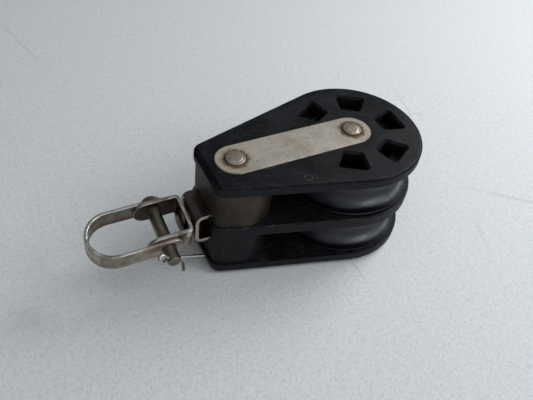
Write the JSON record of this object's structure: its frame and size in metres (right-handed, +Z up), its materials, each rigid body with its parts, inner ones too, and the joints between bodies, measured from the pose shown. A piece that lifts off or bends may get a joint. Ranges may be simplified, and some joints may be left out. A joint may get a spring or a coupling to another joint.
{
  "type": "double sheave block",
  "caption": "Rigging block: grooved sheaves stacked on one axle between black cheeks, hung from a swivelling fork and a strip shackle.",
  "frame": {"origin": "where the axle's axis meets the flat end of the lower axle rivet, which the block lies on", "axes": "+Z up along the sheaves' axle, +X along the block from the shackle to the round end, +Y across it"},
  "size_m": [0.1347, 0.0566, 0.0487],
  "materials": {
    "cheek_plastic": "matt, scuffed",
    "strap_steel": "satin, weathered, rust halo round the rivets",
    "rivet_steel": "satin, weathered",
    "spacer_weathered": "matt, weathered grey-brown",
    "spacer_plastic": "matt",
    "sleeve_steel": "satin",
    "sheave_plastic": "satin, rope-polished",
    "bush_plastic": "satin",
    "bracket_steel": "stained brown",
    "swivel_steel": "stained, rusty rim",
    "fork_steel": "stained, bright on the bends",
    "shackle_steel": "weathered, bright edges",
    "clevis_steel": "weathered, rust at the ends",
    "split_pin_steel": "bright, lightly stained"
  },
  "bodies": {
    "block": {"upper_cheek": "cheek_plastic", "middle_cheek": "cheek_plastic", "lower_cheek": "cheek_plastic", "upper_side_strap": "strap_steel", "lower_side_strap": "strap_steel", "head_rivet": "rivet_steel", "axle_rivet": "rivet_steel", "upper_head_spacer": "spacer_weathered", "lower_head_spacer": "spacer_plastic", "upper_axle_sleeve": "sleeve_steel", "lower_axle_sleeve": "sleeve_steel", "head_bracket": "bracket_steel"},
    "upper_wheel": {"upper_sheave": "sheave_plastic", "upper_sheave_bush": "bush_plastic"},
    "lower_wheel": {"lower_sheave": "sheave_plastic", "lower_sheave_bush": "bush_plastic"},
    "swivel": {"swivel_rivet": "swivel_steel", "swivel_washer": "swivel_steel", "swivel_fork": "fork_steel"},
    "bow": {"shackle": "shackle_steel"},
    "clevis": {"clevis_pin": "clevis_steel", "split_pin": "split_pin_steel"}
  },
  "joints": [
    {"name": "upper_sheave_spin", "type": "hinge", "parent": "block", "child": "upper_wheel", "pos_m": [0, 0, 0.035], "axis": [0, 0, 1], "continuous": true},
    {"name": "lower_sheave_spin", "type": "hinge", "parent": "block", "child": "lower_wheel", "pos_m": [0, 0, 0.0137], "axis": [0, 0, 1], "continuous": true},
    {"name": "fork_swivel", "type": "hinge", "parent": "block", "child": "swivel", "pos_m": [-0.0678, 0, 0.02315], "axis": [1, 0, 0], "continuous": true},
    {"name": "shackle_swing", "type": "hinge", "parent": "swivel", "child": "bow", "pos_m": [-0.079, 0, 0.02315], "axis": [0, 0.9877, 0.1564], "range_deg": [-105, 105]},
    {"name": "clevis_pin_turn", "type": "hinge", "parent": "swivel", "child": "clevis", "pos_m": [-0.079, 0, 0.02315], "axis": [0, 0.9877, 0.1564], "continuous": true}
  ]
}
